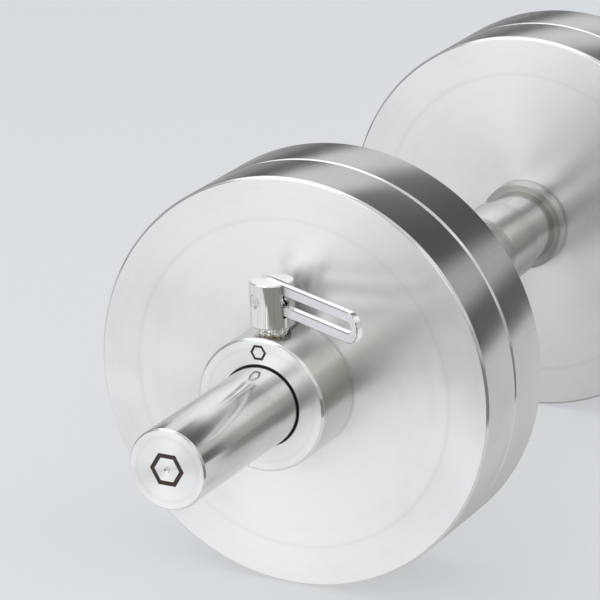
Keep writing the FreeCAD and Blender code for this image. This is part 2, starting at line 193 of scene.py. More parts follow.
class Nodes:
    """A small wrapper that adds nodes to one material and links them."""

    def __init__(self, tree):
        self.tree = tree

    def add(self, kind, **values):
        node = self.tree.nodes.new(kind)
        for key, value in values.items():
            setattr(node, key, value)
        return node

    def link(self, source, target):
        self.tree.links.new(source, target)

    def feed(self, socket, value):
        if isinstance(value, bpy.types.NodeSocket):
            self.link(value, socket)
        else:
            socket.default_value = value

    def math(self, operation, first, second=None):
        node = self.add("ShaderNodeMath", operation=operation)
        self.feed(node.inputs[0], first)
        if second is not None:
            self.feed(node.inputs[1], second)
        return node.outputs[0]

    def vector(self, operation, first, second=None):
        node = self.add("ShaderNodeVectorMath", operation=operation)
        self.feed(node.inputs[0], first)
        if second is not None:
            self.feed(node.inputs[1], second)
        return node.outputs["Value"] if operation in ("LENGTH", "DOT_PRODUCT") else node.outputs[0]

    def remap(self, value, low, high, to_low=0.0, to_high=1.0):
        node = self.add("ShaderNodeMapRange", interpolation_type="SMOOTHSTEP")
        self.feed(node.inputs["Value"], value)
        self.feed(node.inputs["From Min"], low)
        self.feed(node.inputs["From Max"], high)
        self.feed(node.inputs["To Min"], to_low)
        self.feed(node.inputs["To Max"], to_high)
        return node.outputs["Result"]

    def mix(self, amount, first, second):
        node = self.add("ShaderNodeMix", data_type="RGBA")
        self.feed(node.inputs["Factor"], amount)
        self.feed(node.inputs["A"], first)
        self.feed(node.inputs["B"], second)
        return node.outputs["Result"]

    def noise(self, place, scale, detail=2.0, rough=0.5, kind="3D"):
        node = self.add("ShaderNodeTexNoise", noise_dimensions=kind)
        if kind == "1D":
            self.feed(node.inputs["W"], place)
        else:
            self.feed(node.inputs["Vector"], place)
        node.inputs["Scale"].default_value = scale
        node.inputs["Detail"].default_value = detail
        node.inputs["Roughness"].default_value = rough
        return node.outputs["Fac"]

    def stretched(self, place, x, y, z):
        node = self.add("ShaderNodeMapping")
        self.link(place, node.inputs["Vector"])
        node.inputs["Scale"].default_value = (x, y, z)
        return node.outputs["Vector"]

    def bump(self, height, strength, distance):
        node = self.add("ShaderNodeBump")
        node.inputs["Strength"].default_value = strength
        node.inputs["Distance"].default_value = distance
        self.link(height, node.inputs["Height"])
        return node.outputs["Normal"]


def new_material(name):
    material = bpy.data.materials.new(name)
    material.use_nodes = True
    tree = material.node_tree
    shader = next(node for node in tree.nodes if node.type == "BSDF_PRINCIPLED")
    return material, Nodes(tree), shader


def object_place(nodes):
    return nodes.add("ShaderNodeTexCoord").outputs["Object"]


def radius_about_x(nodes, place):
    """Distance from the bar's axis."""
    flat = nodes.vector("MULTIPLY", place, (0.0, 1.0, 1.0))
    return nodes.vector("LENGTH", flat)


def grain_tangent(nodes, shader, amount):
    """Stretch highlights across the tool marks that run round the bar's axis."""
    tangent = nodes.add("ShaderNodeTangent", direction_type="RADIAL", axis="X")
    nodes.link(tangent.outputs["Tangent"], shader.inputs["Tangent"])
    shader.inputs["Anisotropic"].default_value = amount
    shader.inputs["Anisotropic Rotation"].default_value = GRAIN_TURN


# ---------------------------------------------------------------- materials

# How far highlights stretch across a faced disc's tool marks, and the way they turn
FACE_GRAIN = 0.93
GRAIN_TURN = 0.25

# Floor: a near and a far tint, whose step from lit to dim is painted falloff of the light, how much
# light it returns, and how strongly it glows (painted light, no lamp)
FLOOR_LIT_NEAR = (0.80, 0.825, 0.845, 1.0)
FLOOR_DIM_FAR = (0.70, 0.735, 0.77, 1.0)
FLOOR_ALBEDO = 0.30
FLOOR_GLOW = 0.60

# Floor as polished steel shows it: a painted reflection, darker under the bar as painted shade
FLOOR_IN_FRONT = (0.93, 0.945, 0.96, 1.0)
FLOOR_LEFT = (0.86, 0.87, 0.885, 1.0)
FLOOR_LEFT_BEHIND = (0.52, 0.535, 0.53, 1.0)
FLOOR_RIGHT = (0.86, 0.87, 0.86, 1.0)
FLOOR_BY_CAMERA = (0.30, 0.295, 0.275, 1.0)
FLOOR_DISTANT = (0.28, 0.28, 0.27, 1.0)
FLOOR_SHADE_UNDER_BAR = (0.50, 0.505, 0.50, 1.0)

# Metals
STEEL = (0.86, 0.865, 0.87, 1.0)
CHROME = (0.95, 0.95, 0.955, 1.0)
RIM_STEEL = (0.54, 0.54, 0.53, 1.0)
# The bar's and collar's tints are their steel's tone, dimmed partly as painted shade standing in for
# the shadowed table that their undersides mirror
BAR_STEEL_AND_SHADE = (0.66, 0.658, 0.64, 1.0)
COLLAR_STEEL_AND_SHADE = (0.62, 0.61, 0.58, 1.0)
HANDLE_STEEL = (0.47, 0.465, 0.44, 1.0)
FERRULE_STEEL = (0.60, 0.595, 0.565, 1.0)


def turned_face(name, tint, rough, ring_radius):
    """A lathe-faced disc: fine rings round the axis, one faint wider ring, stains and smudges."""
    material, nodes, shader = new_material(name)
    shade, roughness, normal = turned_look(nodes, object_place(nodes), rough, ring_radius)
    nodes.link(nodes.mix(shade, tint, darker(tint, 0.84)), shader.inputs["Base Color"])
    nodes.link(roughness, shader.inputs["Roughness"])
    nodes.link(normal, shader.inputs["Normal"])
    shader.inputs["Metallic"].default_value = 1.0
    grain_tangent(nodes, shader, FACE_GRAIN)
    return material


def turned_look(nodes, place, rough, ring_radius):
    """How far each spot of a faced disc is darkened, how rough it is, and its tool marks."""
    radius = radius_about_x(nodes, place)
    fine = nodes.noise(radius, 9000.0, 3.0, 0.7, "1D")
    broad = nodes.noise(radius, 260.0, 2.0, 0.5, "1D")
    smudge = nodes.noise(place, 34.0, 3.0, 0.55)
    stain = nodes.noise(place, 14.0, 2.0, 0.5)
    offset = nodes.math("ABSOLUTE", nodes.math("SUBTRACT", radius, ring_radius))
    ring = nodes.remap(offset, 0.0002, 0.0011, 1.0, 0.0)
    shade = nodes.remap(broad, 0.3, 0.7, 0.0, 0.06)
    shade = nodes.math("ADD", shade, nodes.math("MULTIPLY", ring, 0.28))
    shade = nodes.math("ADD", shade, nodes.remap(smudge, 0.42, 0.75, 0.0, 0.25))
    shade = nodes.math("ADD", shade, nodes.remap(stain, 0.45, 0.70, 0.0, 0.22))
    roughness = nodes.remap(smudge, 0.35, 0.7, rough, rough + 0.05)
    roughness = nodes.math("ADD", roughness, nodes.remap(stain, 0.4, 0.7, 0.0, 0.03))
    roughness = nodes.math("ADD", roughness, nodes.remap(broad, 0.3, 0.7, 0.0, 0.008))
    return shade, roughness, nodes.bump(fine, 0.06, 0.00002)


def darker(tint, amount):
    return tuple(channel * amount for channel in tint[:3]) + (1.0,)


def ground_round(name, tint, rough, anisotropic, streak):
    """A cylindrical surface: marks run round the axis, and light scratches run along it."""
    material, nodes, shader = new_material(name)
    shade, roughness, normal = ground_look(nodes, object_place(nodes), rough, streak)
    nodes.link(nodes.mix(shade, tint, darker(tint, 0.80)), shader.inputs["Base Color"])
    nodes.link(roughness, shader.inputs["Roughness"])
    nodes.link(normal, shader.inputs["Normal"])
    shader.inputs["Metallic"].default_value = 1.0
    grain_tangent(nodes, shader, anisotropic)
    return material


def ground_look(nodes, place, rough, streak):
    """How far each spot of a ground cylinder is darkened, how rough it is, and its tool marks."""
    rings = nodes.noise(nodes.stretched(place, 1.0, 0.02, 0.02), 5200.0, 3.0, 0.7)
    along = nodes.noise(nodes.stretched(place, 0.025, 1.0, 1.0), 900.0, 4.0, 0.65)
    smudge = nodes.noise(place, 46.0, 5.0, 0.6)
    shade = nodes.remap(along, 0.42, 0.72, 0.0, streak)
    shade = nodes.math("ADD", shade, nodes.remap(smudge, 0.45, 0.75, 0.0, 0.18))
    roughness = nodes.remap(smudge, 0.35, 0.7, rough - 0.02, rough + 0.02)
    roughness = nodes.math("ADD", roughness, nodes.remap(along, 0.55, 0.75, 0.0, 0.03))
    return shade, roughness, nodes.bump(rings, 0.10, 0.00002)


def polished(name, tint, rough, streak=0.15):
    """A small polished surface with faint wear and fine upright marks."""
    material, nodes, shader = new_material(name)
    place = object_place(nodes)
    wear = nodes.noise(place, 420.0, 3.0, 0.6)
    upright = nodes.noise(nodes.stretched(place, 1.0, 1.0, 0.03), 1500.0, 3.0, 0.6)
    fine = nodes.noise(nodes.stretched(place, 1.0, 1.0, 0.06), 3800.0, 2.0, 0.6)
    shade = nodes.remap(wear, 0.42, 0.75, 0.0, 0.15)
    shade = nodes.math("ADD", shade, nodes.remap(upright, 0.42, 0.70, 0.0, streak))
    nodes.link(nodes.mix(shade, tint, darker(tint, 0.70)), shader.inputs["Base Color"])
    nodes.link(nodes.remap(wear, 0.3, 0.7, rough - 0.02, rough + 0.03), shader.inputs["Roughness"])
    shader.inputs["Metallic"].default_value = 1.0
    nodes.link(nodes.bump(fine, 0.02, 0.00001), shader.inputs["Normal"])
    return material


def moulded(name, tint):
    """The collar liner's finish: near-black, with a fine matt skin."""
    material, nodes, shader = new_material(name)
    place = object_place(nodes)
    grain = nodes.noise(place, 2600.0, 3.0, 0.6)
    nodes.link(nodes.mix(grain, tint, (0.012, 0.012, 0.014, 1.0)), shader.inputs["Base Color"])
    nodes.link(nodes.remap(grain, 0.3, 0.7, 0.38, 0.55), shader.inputs["Roughness"])
    nodes.link(nodes.bump(grain, 0.2, 0.00003), shader.inputs["Normal"])
    return material


def etched(name, tint):
    """The laser marking's dull brown oxide."""
    material, nodes, shader = new_material(name)
    place = object_place(nodes)
    grain = nodes.noise(place, 3000.0, 3.0, 0.7)
    lighter = tuple(channel * 1.7 for channel in tint[:3]) + (1.0,)
    nodes.link(nodes.mix(grain, tint, lighter), shader.inputs["Base Color"])
    nodes.link(nodes.remap(grain, 0.3, 0.7, 0.45, 0.7), shader.inputs["Roughness"])
    shader.inputs["Metallic"].default_value = 0.4
    nodes.link(nodes.bump(grain, 0.3, 0.00002), shader.inputs["Normal"])
    return material


def floor_finish():
    """A matt, nearly white table that glows a little, painted light with no lamp, so that its shadows
    stay faint.

    Steel mirrors its own picture of it, which is painted by place and isn't what the camera sees.
    """
    material, nodes, shader = new_material("studio_floor")
    place = object_place(nodes)
    cloud = nodes.noise(place, 1.6, 3.0, 0.5)
    # Painted falloff: the table's colour dims from its near tint to its far tint with distance along
    # the table
    along = nodes.vector("DOT_PRODUCT", place, (0.72, 0.69, 0.0))
    far = nodes.remap(along, -0.2, 1.7, 0.0, 1.0)
    tint = nodes.mix(far, FLOOR_LIT_NEAR, FLOOR_DIM_FAR)
    tint = nodes.mix(nodes.remap(cloud, 0.3, 0.7, 0.0, 0.10), tint, FLOOR_DIM_FAR)
    nodes.link(nodes.vector("MULTIPLY", tint, (FLOOR_ALBEDO,) * 3), shader.inputs["Base Color"])
    # The table glows in its own tint: painted light, not a lamp
    nodes.link(tint, shader.inputs["Emission Color"])
    shader.inputs["Emission Strength"].default_value = FLOOR_GLOW
    shader.inputs["Roughness"].default_value = 0.65
    shader.inputs["Specular IOR Level"].default_value = 0.25
    seen = floor_in_steel(nodes, place)
    glow = nodes.add("ShaderNodeEmission")
    nodes.link(seen, glow.inputs["Color"])
    chooser = nodes.add("ShaderNodeMixShader")
    paths = nodes.add("ShaderNodeLightPath")
    nodes.link(paths.outputs["Is Glossy Ray"], chooser.inputs[0])
    nodes.link(shader.outputs[0], chooser.inputs[1])
    nodes.link(glow.outputs[0], chooser.inputs[2])
    output = next(node for node in material.node_tree.nodes if node.type == "OUTPUT_MATERIAL")
    nodes.link(chooser.outputs[0], output.inputs["Surface"])
    return material


def floor_in_steel(nodes, place):
    """The table's painted reflection, as polished steel shows it: brightest before the near disc,
    dimmer behind it on the left, beside the camera and far away, and darker under the bar as painted
    shade."""
    split = nodes.add("ShaderNodeSeparateXYZ")
    nodes.link(place, split.inputs[0])
    x = split.outputs["X"]
    y = split.outputs["Y"]
    ahead = nodes.remap(x, -0.05, 0.35)
    left_tint = nodes.mix(ahead, FLOOR_LEFT, FLOOR_LEFT_BEHIND)
    left = nodes.remap(y, -0.03, 0.06)
    front = nodes.remap(x, -0.10, -0.15)
    lit = nodes.math("MAXIMUM", left, front)
    colour = nodes.mix(lit, FLOOR_RIGHT, left_tint)
    offset = nodes.vector("ADD", place, (0.20, 0.0, 0.0))
    reach = nodes.vector("LENGTH", nodes.vector("MULTIPLY", offset, (1.0, 1.6, 0.0)))
    close = nodes.remap(reach, 0.60, 0.25)
    colour = nodes.mix(nodes.math("MULTIPLY", lit, close), colour, FLOOR_IN_FRONT)
    slant = nodes.vector("DOT_PRODUCT", place, (0.80, 1.0, 0.0))
    nearer = nodes.remap(slant, -0.365, -0.385)
    colour = nodes.mix(nodes.math("MULTIPLY", nearer, front), colour, FLOOR_BY_CAMERA)
    distant = nodes.remap(nodes.vector("LENGTH", place), 1.0, 2.4)
    distant = nodes.math("MULTIPLY", distant, nodes.remap(x, 0.2, 0.6))
    colour = nodes.mix(distant, colour, FLOOR_DISTANT)
    # Painted shade: the reflected table is darkened along under the bar, inward from the near disc
    beside = nodes.remap(nodes.math("ABSOLUTE", y), 0.11, 0.02)
    under = nodes.math("MULTIPLY", beside, nodes.remap(x, -0.125, -0.10))
    return nodes.mix(under, colour, FLOOR_SHADE_UNDER_BAR)


finish = {
    "plate_face": turned_face("plate_face", STEEL, 0.285, 0.0590),
    "plate_rim": ground_round("plate_rim", RIM_STEEL, 0.20, 0.5, 0.12),
    "plate_edge": polished("plate_edge", (0.62, 0.62, 0.615, 1.0), 0.12),
    "bar_round": ground_round("bar_round", BAR_STEEL_AND_SHADE, 0.15, 0.3, 0.40),
    "bar_face": turned_face("bar_face", (0.90, 0.905, 0.91, 1.0), 0.285, 0.0110),
    "bar_edge": polished("bar_edge", (0.62, 0.61, 0.60, 1.0), 0.12),
    "collar_face": turned_face("collar_face", STEEL, 0.285, 0.0200),
    "collar_edge": polished("collar_edge", (0.66, 0.66, 0.655, 1.0), 0.14),
    "collar_round": ground_round("collar_round", COLLAR_STEEL_AND_SHADE, 0.18, 0.4, 0.15),
    "handle_round": ground_round("handle_round", FERRULE_STEEL, 0.20, 0.4, 0.15),
    "knurl": ground_round("knurl", HANDLE_STEEL, 0.21, 0.0, 0.10),
    "handle_face": turned_face("handle_face", HANDLE_STEEL, 0.36, 0.0160),
    "clamp": polished("clamp", CHROME, 0.13),
    "hub": polished("hub", (0.79, 0.785, 0.775, 1.0), 0.10, 0.30),
    "pin": polished("pin", (0.66, 0.66, 0.65, 1.0), 0.08, 0.0),
    "lever": polished("lever", (0.74, 0.75, 0.775, 1.0), 0.22, 0.0),
    "lever_edge": polished("lever_edge", (0.42, 0.42, 0.42, 1.0), 0.10, 0.0),
    "lever_rim": polished("lever_rim", (0.90, 0.90, 0.90, 1.0), 0.13, 0.0),
    "bronze": polished("bronze", (0.60, 0.43, 0.24, 1.0), 0.23),
    "spring": polished("spring", (0.42, 0.42, 0.43, 1.0), 0.22),
    "liner": moulded("liner", (0.022, 0.022, 0.025, 1.0)),
    "mark": etched("mark", (0.040, 0.024, 0.018, 1.0)),
}


# ---------------------------------------------------------------- turned pieces

def eased(corners):
    """A closed (x, r) outline whose corners, given as (x, r, ease), are rounded by their ease."""
    outline = []
    count = len(corners)
    for index, (x, r, ease) in enumerate(corners):
        here = Vector((x, r))
        if ease <= 0:
            outline.append(here)
            continue
        before = Vector(corners[index - 1][:2])
        after = Vector(corners[(index + 1) % count][:2])
        start = here + (before - here).normalized() * ease
        end = here + (after - here).normalized() * ease
        for step in range(EASE_STEPS + 1):
            t = step / EASE_STEPS
            outline.append(start * (1 - t) ** 2 + here * 2 * t * (1 - t) + end * t * t)
    return outline


def revolved(outline, around):
    """Turn a closed (x, r) outline about X, as an editable mesh."""
    shape = bmesh.new()
    rings = []
    for x, r in outline:
        if r < AXIS_REACH:
            rings.append([shape.verts.new((x, 0.0, 0.0))])
            continue
        ring = []
        for index in range(around):
            angle = 2 * math.pi * index / around
            ring.append(shape.verts.new((x, r * math.cos(angle), r * math.sin(angle))))
        rings.append(ring)
    for ring, following in zip(rings, rings[1:] + rings[:1]):
        if len(ring) == 1 and len(following) == 1:
            continue
        for step in range(around):
            after = (step + 1) % around
            corner = [ring[step % len(ring)], ring[after % len(ring)]]
            corner += [following[after % len(following)], following[step % len(following)]]
            shape.faces.new(list(dict.fromkeys(corner)))
    bmesh.ops.recalc_face_normals(shape, faces=shape.faces)
    return shape


def new_object(name, shape):
    """An object in the scene from an editable mesh, which is used up."""
    mesh = bpy.data.meshes.new(name)
    shape.to_mesh(mesh)
    shape.free()
    thing = bpy.data.objects.new(name, mesh)
    bpy.context.scene.collection.objects.link(thing)
    return thing


def ease_edges(piece, width):
    """Round a piece's sharp edges a little."""
    bevel = piece.modifiers.new("eased_edges", "BEVEL")
    bevel.width = width
    bevel.segments = EASED_SEGMENTS
    bevel.limit_method = "ANGLE"
    bevel.angle_limit = math.radians(EASED_OVER_DEG)
    bevel.harden_normals = True


def add_piece(name, shape, finishes, kinds, body, replaced, sharp_deg):
    """Make a piece of the model. With three kinds of finish, they are for its faces across the
    bar, its chamfers and its rounds; otherwise its faces keep the finish they were given."""
    for face in shape.faces:
        if kinds == 3:
            lean = abs(face.normal.x)
            face.material_index = 0 if lean > FACE_COSINE else 1 if lean > CHAMFER_COSINE else 2
        face.smooth = True
    piece = new_object(name, shape)
    for key in finishes:
        piece.data.materials.append(finish[key])
    piece.data.set_sharp_from_angle(angle=math.radians(sharp_deg))
    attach(piece, body)
    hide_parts(replaced)
    return piece


def turned(name, corners, around, finishes, body, replaced, centre):
    """A piece turned about the bar's axis from its eased corners."""
    shape = revolved(eased(corners), around)
    shape.transform(Matrix.Translation((centre, 0, 0)))
    return add_piece(name, shape, finishes, 3, body, replaced, SHARP_DEG)


def span(node):
    """A node's lowest and highest X, and its outer radius about the bar's axis."""
    low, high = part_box(node)
    return low.x, high.x, max(high.y, high.z)


PLATE_FINISH = ("plate_face", "plate_edge", "plate_rim")
BAR_FINISH = ("bar_face", "bar_edge", "bar_round")
HANDLE_FINISH = ("handle_face", "handle_face", "handle_round")


def disc(side, place):
    """One weight disc, chamfered inside and out, with eased edges."""
    node = side + "_" + place + "_plate"
    low, high, radius = span(node)
    half = (high - low) / 2
    ease = PLATE_EASE
    corners = []
    for x in (-half, half):
        edge = [(x, PLATE_BORE_R + PLATE_BORE_CHAMFER, ease), (x, radius - PLATE_CHAMFER, ease)]
        edge.append((x - math.copysign(PLATE_CHAMFER, x), radius, ease))
        inner = (x - math.copysign(PLATE_BORE_CHAMFER, x), PLATE_BORE_R, ease)
        corners += [inner] + edge if x < 0 else edge[::-1] + [inner]
    turned(side + "_" + place + "_disc", corners, AROUND_LARGE, PLATE_FINISH,
           side + "_" + place + "_plate", node, (low + high) / 2)


for side in SIDES:
    for place in ("inner", "outer"):
        disc(side, place)


def shaft():
    """The bar, from one chamfered end to the other."""
    low, high, radius = span("bar")
    half = (high - low) / 2
    near_end = [(-half + DRILL_DEPTH, 0.0, 0.0), (-half, DRILL_R, DRILL_EASE),
                (-half, radius - BAR_CHAMFER, BAR_EASE), (-half + BAR_CHAMFER, radius, BAR_EASE),
                (-RELIEF_END, radius, 0.0), (-RELIEF_END, RELIEF_R, 0.0),
                (-RELIEF_START, RELIEF_R, 0.0), (-RELIEF_START, radius, 0.0)]
    far_end = [(-x, r, ease) for x, r, ease in reversed(near_end)]
    turned("bar_turned", near_end + far_end, AROUND_SMALL, BAR_FINISH, "bar", "bar",
           (low + high) / 2)


shaft()


def sleeve(node, chamfer, body):
    """A plain ring on the bar, chamfered outside at both ends."""
    low, high, radius = span(node)
    half = (high - low) / 2
    corners = [(-half, SLEEVE_BORE_R, 0.0), (-half, radius - chamfer, SLEEVE_EASE),
               (-half + chamfer, radius, SLEEVE_EASE), (half - chamfer, radius, SLEEVE_EASE),
               (half, radius - chamfer, SLEEVE_EASE), (half, SLEEVE_BORE_R, 0.0)]
    turned(node + "_turned", corners, AROUND_SMALL, HANDLE_FINISH, body, node,
           (low + high) / 2)


for side in SIDES:
    sleeve(side + "_grip_ferrule", FERRULE_CHAMFER, "bar")
    sleeve(side + "_stop_flange", FLANGE_CHAMFER, "bar")


def wave(turns):
    """A triangle wave: 0 at whole turns and 1 halfway between."""
    return 1 - abs(2 * (turns % 1.0) - 1)


def knurled_grip():
    """The grip sleeve with its diamond knurl."""
    low, high, radius = span("grip_sleeve")
    length = high - low
    rows = STEPS_PER_TOOTH * round(length / GRIP_PITCH)
    around = STEPS_PER_TOOTH * GRIP_TEETH
    shape = bmesh.new()
    loops = []
    for row in range(-1, rows + 2):
        loop = []
        for step in range(around):
            reach = SLEEVE_BORE_R
            if 0 <= row <= rows:
                first = wave((step + row) / STEPS_PER_TOOTH)
                second = wave((step - row) / STEPS_PER_TOOTH)
                reach = radius - GRIP_DEPTH * (1 - min(first, second))
            x = low + length * min(max(row, 0), rows) / rows
            angle = 2 * math.pi * step / around
            loop.append(shape.verts.new((x, reach * math.cos(angle), reach * math.sin(angle))))
        loops.append(loop)
    for loop, following in zip(loops, loops[1:] + loops[:1]):
        for step in range(around):
            after = (step + 1) % around
            shape.faces.new((loop[step], loop[after], following[after], following[step]))
    bmesh.ops.recalc_face_normals(shape, faces=shape.faces)
    add_piece("grip_knurled", shape, ("knurl",), 0, "bar", "grip_sleeve",
              KNURL_SHARP_DEG)


knurled_grip()


# ---------------------------------------------------------------- collars and their clamps

COLLAR_FINISH = ("collar_face", "collar_edge", "collar_round")
UP = Matrix.Rotation(math.radians(-90), 4, "Y")


def at_clamp(side, swivel):
    """The place of a piece that is drawn upright, with the bar's axis as its ground level."""
    turned_round = Matrix.Rotation(0.0 if side == "near" else math.pi, 4, "Z")
    leaned = Matrix.Translation((CLAMP_X, 0, 0)) @ Matrix.Rotation(-CLAMP_LEAN, 4, "X")
    return turned_round @ leaned @ Matrix.Rotation(-swivel, 4, "Z")


def cylinder(radius, start, end, matrix):
    """A throwaway cylinder, drawn along X between two places and then moved, for cutting with."""
    shape = revolved([(start, 0.0), (start, radius), (end, radius), (end, 0.0)], AROUND_TINY)
    shape.transform(matrix)
    return new_object("cutter", shape)


def block(low, high):
    """A throwaway box between two corners, for cutting with."""
    shape = bmesh.new()
    size = Vector(high) - Vector(low)
    middle = (Vector(high) + Vector(low)) / 2
    place = Matrix.Translation(middle) @ Matrix.Diagonal(size).to_4x4()
    bmesh.ops.create_cube(shape, size=1.0, matrix=place)
    return new_object("cutter", shape)


def cut_away(shape, cutters):
    """A shape less its cutters, as a new editable mesh."""
    solid = new_object("cutter", shape)
    for cutter in cutters:
        modifier = solid.modifiers.new("cut", "BOOLEAN")
        modifier.operation = "DIFFERENCE"
        modifier.solver = "EXACT"
        modifier.object = cutter
    bpy.context.view_layer.update()
    ready = solid.evaluated_get(bpy.context.evaluated_depsgraph_get())
    result = bmesh.new()
    result.from_mesh(ready.to_mesh())
    ready.to_mesh_clear()
    for thing in [solid] + cutters:
        mesh = thing.data
        bpy.data.objects.remove(thing)
        bpy.data.meshes.remove(mesh)
    return result


def collar_ring(side):
    """The collar's ring, cut for its clamp's seat, stud and pad."""
    node = side + "_collar_body"
    low, high, radius = span(node)
    half = (high - low) / 2
    chamfer = COLLAR_CHAMFER
    ease = COLLAR_EASE
    corners = [(-half, COLLAR_BORE_R, COLLAR_BORE_EASE), (-half, radius - chamfer, ease),
               (-half + chamfer, radius, ease), (half - chamfer, radius, ease),
               (half, radius - chamfer, ease), (half, COLLAR_BORE_R, COLLAR_BORE_EASE)]
    shape = revolved(eased(corners), AROUND_LARGE)
    shape.transform(Matrix.Translation(((low + high) / 2, 0, 0)))
    upright = at_clamp(side, 0.0) @ UP
    cutters = [cylinder(SEAT_R, SEAT_HEIGHT, radius + PAST, upright),
               cylinder(STUD_HOLE_R, STUD_HOLE_FLOOR, radius, upright),
               cylinder(PAD_HOLE_R, PAD_HOLE_BOTTOM, PAD_HOLE_TOP, upright)]
    add_piece(side + "_collar_ring", cut_away(shape, cutters), COLLAR_FINISH, 3,
              side + "_collar", node, CUT_SHARP_DEG)


def hub(side):
    """The clamp's round housing: domed, slotted for the lever and bored across for its pin."""
    outline = eased([(height * MM, r * MM, ease * MM) for height, r, ease in HUB_OUTLINE_MM])
    shape = revolved(outline, AROUND_SMALL)
    shape.transform(UP)
    level = Matrix.Translation((0, 0, PIN_HEIGHT))
    slot_low = (-SLOT_HALF_WIDTH, -SLOT_REACH, SLOT_FLOOR)
    slot_high = (SLOT_HALF_WIDTH, SLOT_REACH, SLOT_CEILING)
    cutters = [block(slot_low, slot_high),
               cylinder(PIN_BORE_R, -BORE_REACH, BORE_REACH, level),
               cylinder(PIN_HEAD_BORE_R, -BORE_REACH, -PIN_HEAD_START, level),
               cylinder(PIN_HEAD_BORE_R, PIN_HEAD_START, BORE_REACH, level)]
    shape = cut_away(shape, cutters)
    shape.transform(at_clamp(side, CLAMP_SWIVEL))
    piece = add_piece(side + "_hub_turned", shape, ("hub",), 0, side + "_hub",
                      side + "_clamp_hub", CUT_SHARP_DEG)
    ease_edges(piece, HUB_EASE)


def pin(side):
    """The pivot pin, with a dished head at each end."""
    floor_x = PIN_END - PIN_DISH_DEPTH
    half_outline = [(floor_x, 0.0)]
    for step in range(1, PIN_DISH_STEPS + 1):
        r = PIN_DISH_REACH * step / PIN_DISH_STEPS
        half_outline.append((floor_x + PIN_DISH_R - math.sqrt(PIN_DISH_R ** 2 - r ** 2), r))
    half_outline += [(PIN_END - PIN_EDGE, PIN_HEAD_R), (PIN_HEAD_START, PIN_HEAD_R),
                     (PIN_HEAD_START, PIN_R)]
    outline = [(-x, r) for x, r in half_outline] + half_outline[::-1]
    shape = revolved(outline, AROUND_TINY)
    shape.transform(at_clamp(side, CLAMP_SWIVEL) @ Matrix.Translation((0, 0, PIN_HEIGHT)))
    add_piece(side + "_pin_turned", shape, ("pin",), 0, side + "_hub",
              side + "_pivot_pin", CUT_SHARP_DEG)


def arc(centre, radii, start_deg, end_deg, step_deg):
    """Points on a circle or an upright oval, from one angle to another."""
    steps = round((end_deg - start_deg) / step_deg)
    points = []
    for step in range(steps + 1):
        angle = math.radians(start_deg + (end_deg - start_deg) * step / steps)
        across = centre[0] + radii[0] * math.cos(angle)
        points.append((across, centre[1] + radii[1] * math.sin(angle)))
    return points


def lever_outlines():
    """The lever's outer edge, its window and its pin hole, about the pin, before it droops."""
    half = LEVER_HALF_WIDTH
    corner = LEVER_CORNER_R
    tip = half - LEVER_REACH
    slot = WINDOW_HALF_WIDTH
    outer = arc((0, 0), (LEVER_BACK, half - LEVER_RISE), -90, 0, LEVER_TIP_STEP_DEG)
    outer += arc((LEVER_BACK - corner, LEVER_RISE + half - corner), (corner, corner), 0, 90,
                 LEVER_CORNER_STEP_DEG)
    outer += arc((tip, LEVER_RISE), (half, half), 90, 270, LEVER_TIP_STEP_DEG)
    window = arc((-WINDOW_START - slot, LEVER_RISE), (slot, slot), -90, 90, LEVER_CORNER_STEP_DEG)
    window += arc((slot - WINDOW_END, LEVER_RISE), (slot, slot), 90, 270, LEVER_CORNER_STEP_DEG)
    bore = arc((0, 0), (LEVER_BORE_R, LEVER_BORE_R), 0, 350, LEVER_BORE_STEP_DEG)
    return outer, window, bore


def lever(side):
    """The flat lever: two rails beside a long window, a round tip and a cam root."""
    curve = bpy.data.curves.new("lever", "CURVE")
    curve.dimensions = "2D"
    curve.fill_mode = "BOTH"
    curve.extrude = LEVER_HALF_THICKNESS - LEVER_BEVEL
    curve.bevel_depth = LEVER_BEVEL
    curve.bevel_resolution = 0
    curve.offset = -LEVER_BEVEL
    for points in lever_outlines():
        spline = curve.splines.new("POLY")
        spline.points.add(len(points) - 1)
        for point, (y, z) in zip(spline.points, points):
            point.co = (y, z, 0.0, 1.0)
        spline.use_cyclic_u = True
    drawn = bpy.data.objects.new("lever", curve)
    mesh = bpy.data.meshes.new_from_object(drawn)
    shape = bmesh.new()
    shape.from_mesh(mesh)
    bmesh.ops.remove_doubles(shape, verts=shape.verts, dist=AXIS_REACH)
    bmesh.ops.recalc_face_normals(shape, faces=shape.faces)
    for face in shape.faces:
        lean = abs(face.normal.z)
        sloped = 1 if lean > LEVER_BEVEL_COSINE else 2
        face.material_index = 0 if lean > LEVER_FACE_COSINE else sloped
    bpy.data.objects.remove(drawn)
    bpy.data.curves.remove(curve)
    bpy.data.meshes.remove(mesh)
    across = Matrix(((0, 0, 1, 0), (1, 0, 0, 0), (0, 1, 0, 0), (0, 0, 0, 1)))
    droop = Matrix.Rotation(LEVER_DROOP, 4, "X")
    raised = Matrix.Translation((0, 0, PIN_HEIGHT))
    shape.transform(at_clamp(side, CLAMP_SWIVEL) @ raised @ droop @ across)
    add_piece(side + "_lever_flat", shape, ("lever", "lever_edge", "lever_rim"), 0,
              side + "_lever", side + "_clamp_lever", LEVER_SHARP_DEG)


for side in SIDES:
    collar_ring(side)
    hub(side)
    pin(side)
    lever(side)


# ---------------------------------------------------------------- markings

